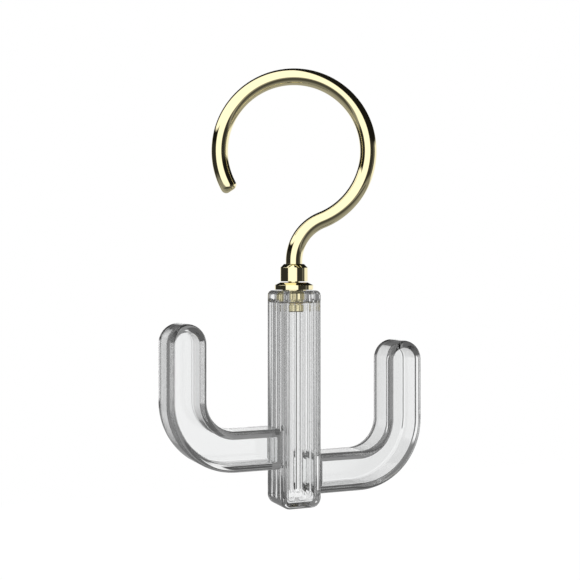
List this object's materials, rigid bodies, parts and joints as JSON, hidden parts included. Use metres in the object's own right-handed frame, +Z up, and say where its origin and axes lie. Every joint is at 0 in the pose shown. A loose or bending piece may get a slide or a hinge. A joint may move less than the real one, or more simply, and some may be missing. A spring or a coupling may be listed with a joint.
{
  "type": "hanging swivel hook",
  "caption": "Bent metal hook that hangs over a rail and swivels on top of a clear fluted column with upturned clear arms on both sides for bags and scarves.",
  "frame": {"origin": "inside top of the hook's ring, where it rests on a rail", "axes": "+Z up along the swivel axis, -Y towards the front, the arms along X with the higher arm at -X"},
  "size_m": [0.0816, 0.0224, 0.1311],
  "materials": {
    "gold_plate": "mirror polished, pale gold plate",
    "plain_brass": "turned, satin",
    "clear_plastic": "clear, polished"
  },
  "bodies": {
    "hook": {"hook_rod": "gold_plate", "swivel_ferrule": "gold_plate", "thrust_washer": "plain_brass", "end_collar": "gold_plate"},
    "arm_column": {"flanged_bush": "gold_plate", "column": "clear_plastic", "left_arm": "clear_plastic", "right_arm": "clear_plastic"}
  },
  "joints": [
    {"name": "hook_swivel", "type": "hinge", "parent": "hook", "child": "arm_column", "pos_m": [0, 0, -0.06155], "axis": [0, 0, 1], "continuous": true}
  ]
}
